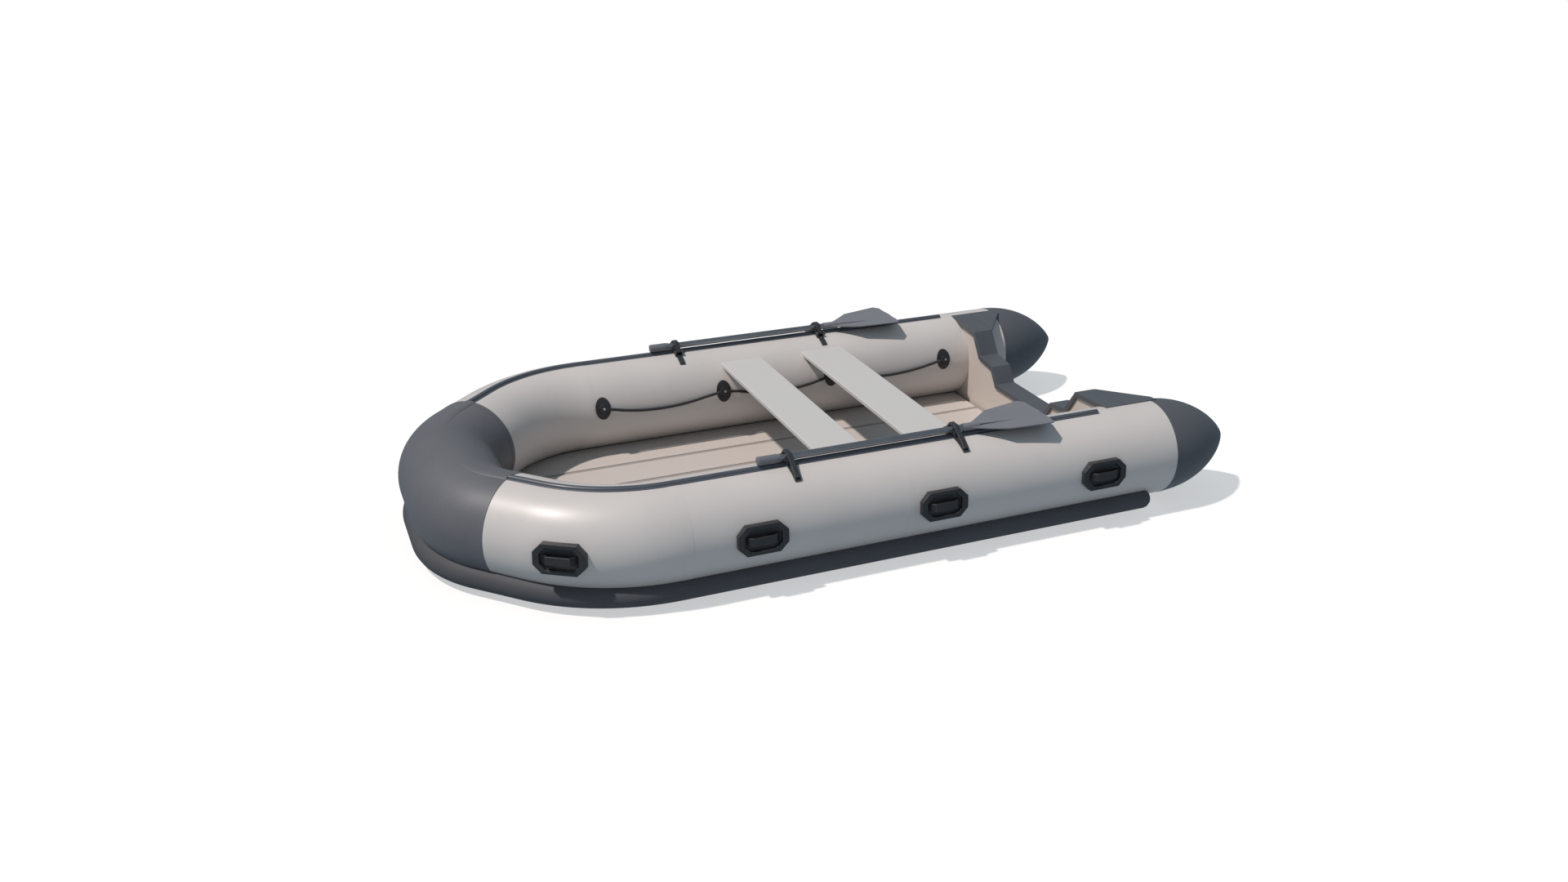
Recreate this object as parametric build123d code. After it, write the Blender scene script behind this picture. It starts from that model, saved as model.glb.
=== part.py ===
"""Inflatable dinghy: three air chambers bent round the bow, a transom, two benches and a pair of oars.

Millimetres. +X points to the bow, +Y to port, +Z up.
The origin is on the ground under the middle of the boat.
The tubes are shells of coated fabric. Port pieces are modelled first and the starboard ones mirror them.
"""
from build123d import *
import os
from math import asin, cos, pi, radians, sin, sqrt, tan

# ---------------------------------------------------------------- hull and tubes
overall_length = 3600.0
overall_beam = 1880.0
tube_diameter = 425.0
tube_ground_gap = 27.5
fabric = 0.9
glue_line = 0.3
shoulder_bend = 620.0
shoulder_turn = 46.0
bow_bend = 371.0
bow_straight = 234.0
cone_length = 389.0
cone_tip_radius = 40.0
cone_wall = 3.0
bulkhead_lap = 25.0
cover_thickness = 1.2
cover_diagonal_share = 0.35
cover_hem_height = 4.0

# ---------------------------------------------------------------- strips on the tubes
strip_width = 46.0
strip_height = 12.0
strip_from_seam = 305.0
strake_out = 160.0
strake_down = 169.0
strake_radius = 44.0
strake_from_seam = 140.0

# ---------------------------------------------------------------- bottom and floor
bottom_fabric = 1.2
keel_top_width = 380.0
keel_foot_width = 260.0
keel_aft_gap = 60.0
keel_nose = 200.0
keel_front_gap = 300.0
board_thickness = 12.0
board_top = 50.0
centre_board_width = 325.0
inner_board_width = 185.0
joiner_width = 25.0
joiner_thickness = 8.0
floor_fit = 4.0
floor_front_gap = 190.0
batten_width = 60.0
batten_count = 6

# ---------------------------------------------------------------- transom
transom_from_seam = 231.0
transom_thickness = 85.0
cap_overhang = 10.0
cap_thickness = 14.0
cap_lip = 10.0
notch_half_width = 213.0
notch_height = 236.0
step_inner = (267.0, 315.0)
step_outer = (389.0, 333.0)
top_inner = (462.0, 440.0)
top_outer_setback = 19.0
plate_lift = 3.5
plate_apex_from_seam = 24.0
plate_thickness = 12.0
pad_width = 280.0
pad_height = 130.0
pad_thickness = 8.0
holder_leg = 45.0
holder_thickness = 6.0
holder_reach = 42.0
drain_y = 180.0
drain_barrel = 17.0
drain_bore = 12.5
drain_flange = 26.0
drain_flange_thickness = 4.0
drain_cap_radius = 23.0
drain_cap_thickness = 11.0
drain_stem = 22.0
drain_fit = 0.08

# ---------------------------------------------------------------- valves
valve_flange = 32.0
valve_flange_thickness = 5.0
valve_barrel = 20.0
valve_barrel_depth = 26.0
valve_bore = 12.0
valve_cap_radius = 24.0
valve_cap_height = 14.0
valve_cap_plug = 9.0
valve_fit = 0.08
stern_valve_from_seam = 62.0
stern_valve_angle = 188.0
bow_valve_turn = 23.0
bow_valve_angle = 178.0

# ---------------------------------------------------------------- benches
bench_drop = 41.5
bench_thickness = 22.0
front_bench_width = 213.0
rear_bench_width = 220.0
front_bench_x = 67.5
rear_bench_x = -365.0
bench_edge_radius = 5.0
rest_width = 44.0
rest_end_gap = 20.0

# ---------------------------------------------------------------- carry handles
handle_length = 212.0
handle_height = 124.0
handle_corner = 36.0
handle_rim = 21.0
handle_recess_length = 150.0
handle_recess_height = 74.0
handle_recess_corner = 18.0
handle_floor = 5.0
handle_sink = 14.0
grip_length = 128.0
grip_front_length = 92.0
grip_height = 26.0
grip_stand = 36.0
grip_bar = 11.0
handle_angle = 5.0
side_handle_stations = (0.861, 0.513, 0.174)
shoulder_handle_turn = 32.6

# ---------------------------------------------------------------- grab line
patch_half_length = 37.0
patch_half_height = 53.5
patch_thickness = 4.0
patch_angle = 166.0
boss_radius = 22.0
boss_height = 26.0
eye_radius = 6.0
eye_height = 3.0
patch_stations = (0.9655, 0.6995, 0.4480, 0.1672)
rope_radius = 7.0
rope_hole_clearance = 1.5
rope_y = 506.5
# the rope's route, X and Z of each point, from the forward patch to the after one
rope_route = [
    (812.0, 294.0), (765.0, 289.0), (690.0, 270.5), (585.0, 257.5), (470.0, 256.0), (360.0, 267.0),
    (275.0, 284.0), (217.0, 293.0), (165.0, 293.5), (112.0, 285.0), (40.0, 268.0), (-60.0, 256.5),
    (-165.0, 256.0), (-262.0, 268.0), (-320.0, 281.5), (-362.0, 292.5), (-410.0, 293.5), (-455.0, 286.0),
    (-530.0, 268.0), (-635.0, 255.0), (-750.0, 253.5), (-855.0, 263.0), (-935.0, 276.5), (-1000.0, 292.0),
    (-1040.0, 294.5),
]

# ---------------------------------------------------------------- oars and their clips
clip_x_positions = (366.0, -391.0)
clip_width = 26.0
clip_pad_thickness = 8.0
clip_reach = 31.0
cheek_half_width = 34.0
shaft_radius = 14.0
shaft_wall = 1.6
shaft_fit = 0.4
shaft_lift = 31.5
pin_radius = 3.0
pin_fit = 0.06
pin_out = 52.0
pin_drop = 14.0
pin_head_radius = 5.0
pin_head = 3.0
knuckle_radius = 7.5
knuckle_gap = 0.5
lug_thickness = 6.0
keeper_width = 22.0
keeper_thickness = 9.0
keeper_clearance = 0.9
keeper_shoulder = (-22.0, 14.0)
keeper_end_seat = 0.4
oar_front = 497.0
oar_grip_length = 86.0
oar_grip_radius = 19.0
oar_collar_length = 10.0
oar_collar_radius = 17.0
blade_neck = -430.0
blade_end = -828.0
blade_half_width = 135.0
blade_rise = 17.0
blade_thickness = 5.0
blade_corner = 30.0
blade_tip_drop = 22.0
socket_length = 75.0
socket_wall = 3.0
rib_end = -690.0
rib_half_width = 9.0
rib_height = 9.0

# ---------------------------------------------------------------- sizes worked out from the ones above
tube_r = tube_diameter / 2
tube_y = overall_beam / 2 - tube_r
tube_z = tube_ground_gap + tube_r
tube_top = tube_z + tube_r
bench_top = tube_top - bench_drop
skin_r = tube_r + glue_line
stern_x = -overall_length / 2
seam_x = stern_x + cone_length
front_axis_x = overall_length / 2 - tube_r - glue_line - cover_thickness
bow_centre_x = front_axis_x - bow_bend
bow_centre_y = bow_straight / 2
turn = radians(shoulder_turn)
diagonal_end_x = bow_centre_x + bow_bend * sin(turn)
diagonal_end_y = bow_centre_y + bow_bend * cos(turn)
diagonal_length = (tube_y - shoulder_bend * (1 - cos(turn)) - diagonal_end_y) / sin(turn)
diagonal_start_x = diagonal_end_x - diagonal_length * cos(turn)
diagonal_start_y = diagonal_end_y + diagonal_length * sin(turn)
shoulder_x = diagonal_start_x - shoulder_bend * sin(turn)
shoulder_centre_y = tube_y - shoulder_bend
side_length = shoulder_x - seam_x
transom_front = seam_x + transom_from_seam
transom_back = transom_front - transom_thickness
cap_front = transom_front + cap_overhang
cap_back = transom_back - cap_overhang
shaft_z = tube_top + shaft_lift
socket_radius = shaft_radius + glue_line / 3
board_bottom = board_top - board_thickness
bottom_top = tube_ground_gap - glue_line
bottom_under = bottom_top - bottom_fabric


def outboard(heading):
    return Vector(-sin(radians(heading)), cos(radians(heading)), 0)


def forward(heading):
    return Vector(cos(radians(heading)), sin(radians(heading)), 0)


def section_plane(x, y, heading):
    """The plane across the tube: its x points outboard, its y up, its normal along the tube to the bow."""
    return Plane(origin=(x, y, tube_z), x_dir=outboard(heading), z_dir=forward(heading))


def surface_plane(x, y, heading, angle, radius=tube_r):
    """A plane on the tube's skin, its normal leaving the tube; angle 0 is outboard, 90 up, 180 inboard."""
    out = outboard(heading) * cos(radians(angle)) + Vector(0, 0, sin(radians(angle)))
    return Plane(origin=Vector(x, y, tube_z) + out * radius, x_dir=forward(heading), z_dir=out)


def straight_run(section, x, y, heading, length):
    return extrude(section_plane(x, y, heading) * section, amount=length)


def bend_run(section, centre_x, centre_y, radius, heading, angle):
    """Carries a section round a bend that turns towards the middle of the boat."""
    side = outboard(heading)
    start = section_plane(centre_x + radius * side.X, centre_y + radius * side.Y, heading)
    return revolve(start * section, Axis((centre_x, centre_y, 0), (0, 0, -1)), angle)


def side_run(section, x_from, x_to):
    return straight_run(section, x_from, tube_y, 0, x_to - x_from)


def shoulder_run(section, diagonal_share=1.0):
    bend = bend_run(section, shoulder_x, shoulder_centre_y, shoulder_bend, 0, shoulder_turn)
    share = diagonal_length * diagonal_share
    return bend + straight_run(section, diagonal_start_x, diagonal_start_y, -shoulder_turn, share)


def bow_run(section, diagonal_share=0.0):
    """The front of the boat, both corners, with the last share of each diagonal."""
    half = bend_run(section, bow_centre_x, bow_centre_y, bow_bend, -shoulder_turn, 90 - shoulder_turn)
    half += straight_run(section, front_axis_x, bow_centre_y, -90, bow_centre_y)
    if diagonal_share > 0:
        back = diagonal_length * diagonal_share
        x = diagonal_end_x - back * cos(turn)
        y = diagonal_end_y + back * sin(turn)
        half += straight_run(section, x, y, -shoulder_turn, back)
    return half + starboard(half)


def starboard(shape):
    return mirror(shape, about=Plane.XZ)


standing = (Align.CENTER, Align.CENTER, Align.MIN)


def block(x0, x1, y0, y1, z0, z1):
    return Pos((x0 + x1) / 2, (y0 + y1) / 2, (z0 + z1) / 2) * Box(abs(x1 - x0), abs(y1 - y0), abs(z1 - z0))


def outline(points):
    """A straight-sided face that looks along its plane's normal, whichever way round its points run."""
    area = sum(a[0] * b[1] - b[0] * a[1] for a, b in zip(points, points[1:] + points[:1]))
    return Polygon(*(points if area > 0 else points[::-1]), align=None)


def slab(points, x0, x1):
    """A flat outline given by Y and Z, made solid from x0 to x1."""
    return extrude(Plane.YZ.offset(x0) * outline(points), amount=x1 - x0)


def rod_x(y, z, radius, x0, x1):
    return Pos((x0 + x1) / 2, y, z) * Rot(0, 90, 0) * Cylinder(radius, abs(x1 - x0))


def tube_sector(x0, x1, r0, r1, a0, a1):
    """Part of a ring round the port tube's axis, from angle a0 to a1."""
    start = Vector(0, cos(radians(a0)), sin(radians(a0)))
    plane = Plane(origin=(0, tube_y, tube_z), x_dir=(1, 0, 0), z_dir=Vector(1, 0, 0).cross(start))
    profile = Pos((x0 + x1) / 2, (r0 + r1) / 2) * Rectangle(abs(x1 - x0), r1 - r0)
    return revolve(plane * profile, Axis((0, tube_y, tube_z), (1, 0, 0)), a1 - a0)


def strap(points, thickness):
    """The outline of a strap of even thickness about a bent centre line, with mitred bends."""
    left, right = [], []
    for i, (u, v) in enumerate(points):
        before = points[max(i - 1, 0)]
        after = points[min(i + 1, len(points) - 1)]
        into = Vector(u - before[0], v - before[1], 0)
        away = Vector(after[0] - u, after[1] - v, 0)
        into = (into if into.length > 0 else away).normalized()
        away = (away if away.length > 0 else into).normalized()
        across = Vector(-into.Y - away.Y, into.X + away.X, 0).normalized()
        reach = thickness / 2 / across.dot(Vector(-into.Y, into.X, 0))
        left.append((u + across.X * reach, v + across.Y * reach))
        right.append((u - across.X * reach, v - across.Y * reach))
    return left + right[::-1]


def octagon(length, height, corner):
    """A long octagon, or a rectangle with its corners cut."""
    a, b, c = length / 2, height / 2, corner
    points = [(a - c, b), (c - a, b), (-a, b - c), (-a, c - b)]
    points += [(-x, -y) for x, y in points]
    return outline(points)


def plan_outline(offset, x_aft):
    """The boat's outline seen from above, at a distance from the tube's centre line; negative is inboard."""

    def round_corner(x, y, radius, h0, h1):
        points = [Vector(x, y, 0) + outboard(h) * radius for h in (h0, (h0 + h1) / 2, h1)]
        return ThreePointArc(*points)

    y = tube_y + offset
    shoulder = round_corner(shoulder_x, shoulder_centre_y, shoulder_bend + offset, 0, -shoulder_turn)
    corner = round_corner(bow_centre_x, bow_centre_y, bow_bend + offset, -shoulder_turn, -90)
    port_edges = [Line((x_aft, y), (shoulder_x, y)), shoulder, Line(shoulder @ 1, corner @ 0), corner]
    front = (corner @ 1).X
    port_edges += [Line((front, (corner @ 1).Y), (front, 0)), Line((front, 0), (x_aft, 0))]
    port_edges.append(Line((x_aft, 0), (x_aft, y)))
    whole = make_face(port_edges)
    whole += starboard(whole)
    return whole if whole.face().normal_at().Z > 0 else -whole


def side_station(share):
    """X of a place on the straight side: 0 at the stern seam, 1 at the shoulder."""
    return seam_x + share * side_length


def write(name, *shapes):
    """Writes one sub-part, of one or more solids, to its own file."""
    solids = [solid for shape in shapes for solid in shape.solids()]
    export_step(solids[0] if len(solids) == 1 else Compound(solids), f"parts/{name}.step")


def write_pair(name, *shapes):
    write(f"port_{name}", *shapes)
    write(f"starboard_{name}", *[starboard(shape) for shape in shapes])


os.makedirs("parts", exist_ok=True)

# the solid that the port tube and its glue line fill: pieces that sit on the tube are cut back to it
envelope = Circle(skin_r)
side_envelope = side_run(envelope, seam_x, shoulder_x)
shoulder_envelope = shoulder_run(envelope)


# ================================================================ tubes, bulkheads, cones and bow cover
def valve_hole(x, y, heading, angle):
    plane = surface_plane(x, y, heading, angle, tube_r - valve_barrel_depth)
    return plane.location * Cylinder(valve_barrel + glue_line, 2 * valve_barrel_depth, align=standing)


stern_valve_place = (seam_x + stern_valve_from_seam, tube_y, 0, stern_valve_angle)
bow_valve_heading = -bow_valve_turn
bow_valve_out = outboard(bow_valve_heading) * shoulder_bend
bow_valve_place = (
    shoulder_x + bow_valve_out.X,
    shoulder_centre_y + bow_valve_out.Y,
    bow_valve_heading,
    bow_valve_angle,
)
skin = Circle(tube_r) - Circle(tube_r - fabric)
write_pair("side_tube", side_run(skin, seam_x, shoulder_x) - valve_hole(*stern_valve_place))
shoulder_tube = shoulder_run(skin)
write("port_shoulder_tube", shoulder_tube - valve_hole(*bow_valve_place))
write("starboard_shoulder_tube", starboard(shoulder_tube))
write("bow_tube", bow_run(skin))


def bulkhead():
    """A cup of fabric across the tube, its rim glued inside the wall where the bow chamber begins."""
    rim = Circle(tube_r - fabric - glue_line) - Circle(tube_r - 2 * fabric - glue_line)
    wall = Circle(tube_r - fabric - glue_line)
    cup = side_run(rim, shoulder_x - bulkhead_lap, shoulder_x)
    return cup + side_run(wall, shoulder_x - bulkhead_lap - fabric, shoulder_x - bulkhead_lap)


write("chamber_bulkheads", bulkhead(), starboard(bulkhead()))


def ogive(radius, length, tip):
    """A round-nosed cone on the tube's axis: one long arc from the tube, then a small one at the tip."""
    long_arc = ((length - tip) ** 2 + radius**2 - tip**2) / (2 * (radius - tip))
    tangent = Vector(length - tip, long_arc - radius, 0).normalized()
    join = Vector(length - tip, 0, 0) + tangent * tip
    half_way = asin(join.X / long_arc) / 2
    middle = (long_arc * sin(half_way), radius - long_arc * (1 - cos(half_way)))
    tip_turn = (pi / 2 - asin(tangent.X)) / 2 + asin(tangent.X)
    nose = (length - tip + tip * sin(tip_turn), tip * cos(tip_turn))
    flank = ThreePointArc((0, radius), middle, (join.X, join.Y))
    end = ThreePointArc((join.X, join.Y), nose, (length, 0))
    profile = make_face([Line((0, 0), (0, radius)), flank, end, Line((length, 0), (0, 0))])
    plane = Plane(origin=(seam_x - glue_line, tube_y, tube_z), x_dir=(-1, 0, 0), z_dir=(0, -1, 0))
    return revolve(plane * profile, Axis((seam_x, tube_y, tube_z), (1, 0, 0)), 360)


cone = ogive(tube_r, cone_length - glue_line, cone_tip_radius)
cone_hollow = ogive(tube_r - cone_wall, cone_length - glue_line - cone_wall, cone_tip_radius - cone_wall)
write_pair("stern_cone", cone - cone_hollow)

cover_skin = Circle(skin_r + cover_thickness) - Circle(skin_r)
cover_skin -= Pos(0, -tube_r) * Rectangle(tube_r, 2 * cover_hem_height)
write("bow_cover", bow_run(cover_skin, cover_diagonal_share))

# ================================================================ top strips and rub strakes
strip_profile = Pos(0, tube_r) * Ellipse(strip_width / 2, strip_height) - Circle(skin_r)
strip_run_share = 1 - cover_diagonal_share - glue_line / diagonal_length
top_strip = side_run(strip_profile, seam_x + strip_from_seam, shoulder_x)
write_pair("top_strip", top_strip + shoulder_run(strip_profile, strip_run_share))

strake_place = Pos(strake_out, -strake_down)
strake_profile = strake_place * Circle(strake_radius) - Circle(skin_r)
bow_strake_profile = strake_place * Circle(strake_radius) - Circle(skin_r + cover_thickness + glue_line)
strake_aft = seam_x + strake_from_seam
strake_end = Pos(strake_aft, tube_y + strake_out, tube_z - strake_down) * Sphere(strake_radius)
side_strake = side_run(strake_profile, strake_aft, shoulder_x - glue_line)
aft_envelope = side_run(envelope, seam_x - strake_radius, strake_aft)
end_room = block(strake_aft - strake_radius, strake_aft, tube_y, overall_beam, 0, tube_z)
round_end = (strake_end & end_room) - aft_envelope
write_pair("rub_strake", side_strake + round_end)
bow_strake_half = shoulder_run(bow_strake_profile)
write("bow_rub_strake", bow_strake_half + bow_run(bow_strake_profile) + starboard(bow_strake_half))

# ================================================================ bottom, keel and floor
bottom_outline = plan_outline(0, transom_back)
write("hull_bottom", extrude(Plane.XY.offset(bottom_under) * bottom_outline, amount=bottom_fabric))

keel_aft = transom_back + keel_aft_gap
keel_front = front_axis_x - keel_front_gap
keel_height = bottom_under - glue_line


def keel(inset):
    """A flattened air keel: flat foot, sloping sides and a raked nose."""
    top, foot = keel_top_width / 2 - 2 * inset, keel_foot_width / 2 - inset
    z0, z1 = inset, keel_height - inset
    across = slab([(top, z1), (foot, z0), (-foot, z0), (-top, z1)], keel_aft + inset, keel_front)
    nose = keel_front - keel_nose
    side = [(keel_aft, z0), (nose - inset, z0), (keel_front - 2 * inset, z1), (keel_aft, z1)]
    long_way = extrude(Plane.XZ.offset(-keel_top_width / 2) * outline(side), amount=keel_top_width)
    return across & long_way


write("keel_tube", keel(0) - keel(fabric))

edge_at_board_top = sqrt(tube_r**2 - (tube_z - board_top) ** 2)
floor_outline = plan_outline(-edge_at_board_top - floor_fit, cap_front + floor_fit)
floor_front = front_axis_x - floor_front_gap
floor_solid = extrude(Plane.XY.offset(board_bottom) * floor_outline, amount=board_thickness)
floor_solid -= block(floor_front, overall_length, -overall_beam, overall_beam, 0, tube_z)


def floor_strake(y0, y1, z0=board_bottom, z1=board_top):
    return floor_solid & block(-overall_length, overall_length, y0, y1, z0, z1)


centre_edge = centre_board_width / 2
inner_start = centre_edge + joiner_width
inner_edge = inner_start + inner_board_width
outer_start = inner_edge + joiner_width
write("centre_floor_board", floor_strake(-centre_edge, centre_edge))
write_pair("inner_floor_board", floor_strake(inner_start, inner_edge))
write_pair("outer_floor_board", floor_strake(outer_start, overall_beam))
joiners = []
for y0 in (centre_edge, inner_edge):
    fit = (y0 + glue_line, y0 + joiner_width - glue_line)
    joiners.append(floor_strake(*fit, board_bottom, board_bottom + joiner_thickness))
write("floor_joiners", *joiners, *[starboard(joiner) for joiner in joiners])

batten_bottom = bottom_top + glue_line
batten_top = board_bottom - glue_line
batten_first = cap_front + 2 * batten_width
batten_pitch = (shoulder_x - batten_first) / (batten_count - 1)
batten_half = tube_y - edge_at_board_top - 2 * batten_width
battens = []
for i in range(batten_count):
    x = batten_first + i * batten_pitch
    batten_x = (x - batten_width / 2, x + batten_width / 2)
    battens.append(block(*batten_x, -batten_half, batten_half, batten_bottom, batten_top))
write("floor_battens", *battens)

# ================================================================ transom, its cap, plates, pad and holders
plate_outer_y = tube_y - top_outer_setback
cap_line = [
    (0.0, notch_height),
    (notch_half_width, notch_height),
    step_inner,
    step_outer,
    top_inner,
    (plate_outer_y, tube_top + plate_lift),
]
full_line = [(-y, z) for y, z in cap_line[:0:-1]] + cap_line[1:]


def line_below(points, depth):
    """The same bent line, moved down square to itself by a depth."""
    return strap(points, 2 * depth)[len(points):][::-1]


cap_under = line_below(full_line, cap_thickness)
board_top_line = line_below(full_line, cap_thickness + glue_line)
transom_foot = bottom_top + glue_line
tubes_cut = [side_envelope, starboard(side_envelope)]
cap_blank = slab(full_line + cap_under[::-1], cap_back, cap_front)
lip_under = line_below(full_line, cap_thickness + cap_lip)
for lip_x0, lip_x1 in ((cap_back, transom_back - glue_line), (transom_front + glue_line, cap_front)):
    cap_blank += slab(cap_under + lip_under[::-1], lip_x0, lip_x1)
board_line = board_top_line + [(tube_y, transom_foot), (-tube_y, transom_foot)]
board_blank = slab(board_line, transom_back, transom_front)
for cut in tubes_cut:
    cap_blank -= cut
    board_blank -= cut
drain_z = board_top + drain_flange + floor_fit
drain_way = rod_x(drain_y, drain_z, drain_barrel + glue_line, seam_x, 0)
write("transom_board", board_blank - drain_way)
write("transom_cap", cap_blank)

plate_line = [top_inner, (plate_outer_y, tube_top + plate_lift)]
plate_under = line_below(plate_line, plate_thickness)
plate_apex_x = seam_x - plate_apex_from_seam + glue_line
plate_blank = slab(plate_line + plate_under[::-1], plate_apex_x, cap_back - glue_line)
plate_plan = [
    (cap_back, top_inner[0]),
    (cap_back, plate_outer_y + 1),
    (plate_apex_x, plate_outer_y + 1),
    (plate_apex_x, plate_outer_y - 2 * top_outer_setback),
]
plate_prism = extrude(Plane.XY * outline(plate_plan), amount=2 * tube_top)
plate_cut = side_run(envelope, seam_x - cone_length, shoulder_x)
write_pair("deck_plate", (plate_blank & plate_prism) - plate_cut)

pad_top = notch_height - cap_thickness - cap_lip - holder_thickness
motor_pad = block(
    transom_back - glue_line - pad_thickness, transom_back - glue_line,
    -pad_width / 2, pad_width / 2, pad_top - pad_height, pad_top,
)
write("motor_pad", motor_pad)

holder_back = transom_back - glue_line
holder_span = (180 - holder_reach, 180 + holder_reach)
holder = tube_sector(holder_back - holder_leg, holder_back, skin_r, skin_r + holder_thickness, *holder_span)
holder += tube_sector(holder_back - holder_thickness, holder_back, skin_r, skin_r + holder_leg, *holder_span)
write("transom_holders", holder, starboard(holder))

socket_front = transom_front + glue_line
drain_socket = rod_x(drain_y, drain_z, drain_flange, socket_front, socket_front + drain_flange_thickness)
drain_socket += rod_x(drain_y, drain_z, drain_barrel, transom_back, socket_front)
drain_way = (transom_back - 1, socket_front + drain_flange_thickness + 1)
drain_socket -= rod_x(drain_y, drain_z, drain_bore, *drain_way)
write("drain_socket", drain_socket)
drain_seat = transom_back - glue_line
drain_plug = rod_x(drain_y, drain_z, drain_cap_radius, drain_seat - drain_cap_thickness, drain_seat)
drain_plug += rod_x(drain_y, drain_z, drain_bore - drain_fit, drain_seat, transom_back + drain_stem)
write("drain_plug", drain_plug)


# ================================================================ air valves and their caps
def valve_body():
    """Flange on the skin, barrel through it, and a bore for the air; z 0 is the tube's skin."""
    flange = Cylinder(valve_flange, 2 * valve_flange_thickness)
    barrel = Pos(0, 0, -valve_barrel_depth) * Cylinder(valve_barrel, valve_barrel_depth, align=standing)
    bore = Pos(0, 0, -valve_barrel_depth - 1) * Cylinder(valve_bore, 3 * valve_barrel_depth, align=standing)
    return flange, barrel - bore, bore


def valve_cap():
    seat = valve_flange_thickness + glue_line
    top = Pos(0, 0, seat) * Cylinder(valve_cap_radius, valve_cap_height, align=standing)
    plug = Pos(0, 0, seat - valve_cap_plug) * Cylinder(valve_bore - valve_fit, valve_cap_plug, align=standing)
    return top + plug


def placed_valve(place, tube_cut):
    location = surface_plane(*place).location
    flange, barrel, bore = valve_body()
    return (location * flange - tube_cut + location * barrel) - location * bore


stern_valve = placed_valve(stern_valve_place, side_envelope)
write_pair("valve", stern_valve)
write_pair("valve_cap", surface_plane(*stern_valve_place).location * valve_cap())
write("bow_valve", placed_valve(bow_valve_place, shoulder_envelope))
write("bow_valve_cap", surface_plane(*bow_valve_place).location * valve_cap())


# ================================================================ benches and the blocks under their ends
def bench(x, width):
    plank = block(x - width / 2, x + width / 2, -tube_y, tube_y, bench_top - bench_thickness, bench_top)
    long_edges = plank.edges().filter_by(Axis.Y)
    plank = fillet(long_edges, bench_edge_radius)
    return plank - side_envelope - starboard(side_envelope)


def bench_rest(x, width):
    """A rubber block on the tube that backs the bench's end from below."""
    top = bench_top - bench_thickness - glue_line
    reach = width / 2 - rest_end_gap
    outer = tube_y - sqrt(skin_r**2 - (top - tube_z) ** 2)
    rest = block(x - reach, x + reach, outer - rest_width / 2, tube_y, top - rest_width, top)
    return rest - side_envelope


write("front_bench", bench(front_bench_x, front_bench_width))
write("rear_bench", bench(rear_bench_x, rear_bench_width))
rests = [bench_rest(front_bench_x, front_bench_width), bench_rest(rear_bench_x, rear_bench_width)]
write("bench_rests", *rests, *[starboard(rest) for rest in rests])


# ================================================================ carry handles
def handle_blank():
    """Octagonal rubber plate with a raised rim, a recess and a bridge to grip; z 0 is the tube's skin."""
    foot = Pos(0, 0, -handle_sink) * octagon(handle_length, handle_height, handle_corner)
    plate = extrude(foot, amount=handle_sink + handle_rim)
    recess = octagon(handle_recess_length, handle_recess_height, handle_recess_corner)
    plate -= extrude(Pos(0, 0, handle_floor) * recess, amount=handle_rim)
    foot = handle_recess_length / 2 - handle_recess_corner / 2
    centre_line = [
        (-foot, handle_floor - 1),
        (-grip_front_length / 2, grip_stand - grip_bar / 2),
        (grip_front_length / 2, grip_stand - grip_bar / 2),
        (foot, handle_floor - 1),
    ]
    bridge = Plane.XZ.offset(-grip_height / 2) * outline(strap(centre_line, grip_bar))
    bridge = extrude(bridge, amount=grip_height)
    bridge &= block(-grip_length, grip_length, -grip_height, grip_height, handle_floor - 1, grip_stand)
    return plate + bridge


def placed_handle(x, y, heading, tube_cut):
    return surface_plane(x, y, heading, handle_angle).location * handle_blank() - tube_cut


handles = [placed_handle(side_station(share), tube_y, 0, side_envelope) for share in side_handle_stations]
shoulder_out = outboard(-shoulder_handle_turn) * shoulder_bend
shoulder_place = (shoulder_x + shoulder_out.X, shoulder_centre_y + shoulder_out.Y)
handles.append(placed_handle(*shoulder_place, -shoulder_handle_turn, shoulder_envelope))
write_pair("handles", *handles)


# ================================================================ grab line: patches, eyes and rope
def patch(share, index):
    """An oval rubber patch with a boss for the rope to run through; the rope stops inside the end bosses."""
    x = side_station(share)
    location = surface_plane(x, tube_y, 0, patch_angle).location
    sheet = side_run(Circle(skin_r + patch_thickness), x - patch_half_height, x + patch_half_height)
    oval = location * Ellipse(patch_half_length, patch_half_height)
    oval = extrude(oval, amount=patch_half_height, both=True)
    sheet = (sheet & oval) - side_envelope
    boss = location * (Pos(0, 0, boss_height / 2) * Cylinder(boss_radius, boss_height)) - side_envelope
    hole_z = rope_end_z(index)
    ahead = rope_route[0][0] if index == 0 else x + patch_half_length
    astern = rope_route[-1][0] if index == len(patch_stations) - 1 else x - patch_half_length
    hole = rod_x(rope_y, hole_z, rope_radius + rope_hole_clearance, astern, ahead)
    return (sheet + boss) - hole


def rope_end_z(index):
    """Height of the rope where it passes the patch of this index."""
    x = side_station(patch_stations[index])
    nearest = sorted(rope_route, key=lambda point: abs(point[0] - x))[:2]
    return sum(point[1] for point in nearest) / 2


def eye(share):
    location = surface_plane(side_station(share), tube_y, 0, patch_angle).location
    middle = boss_height + glue_line + eye_height / 2
    return location * (Pos(0, 0, middle) * Cylinder(eye_radius, eye_height))


write_pair("rope_patches", *[patch(share, index) for index, share in enumerate(patch_stations)])
eyes = [eye(share) for share in patch_stations]
write("rope_eyes", *eyes, *[starboard(rivet) for rivet in eyes])


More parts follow.
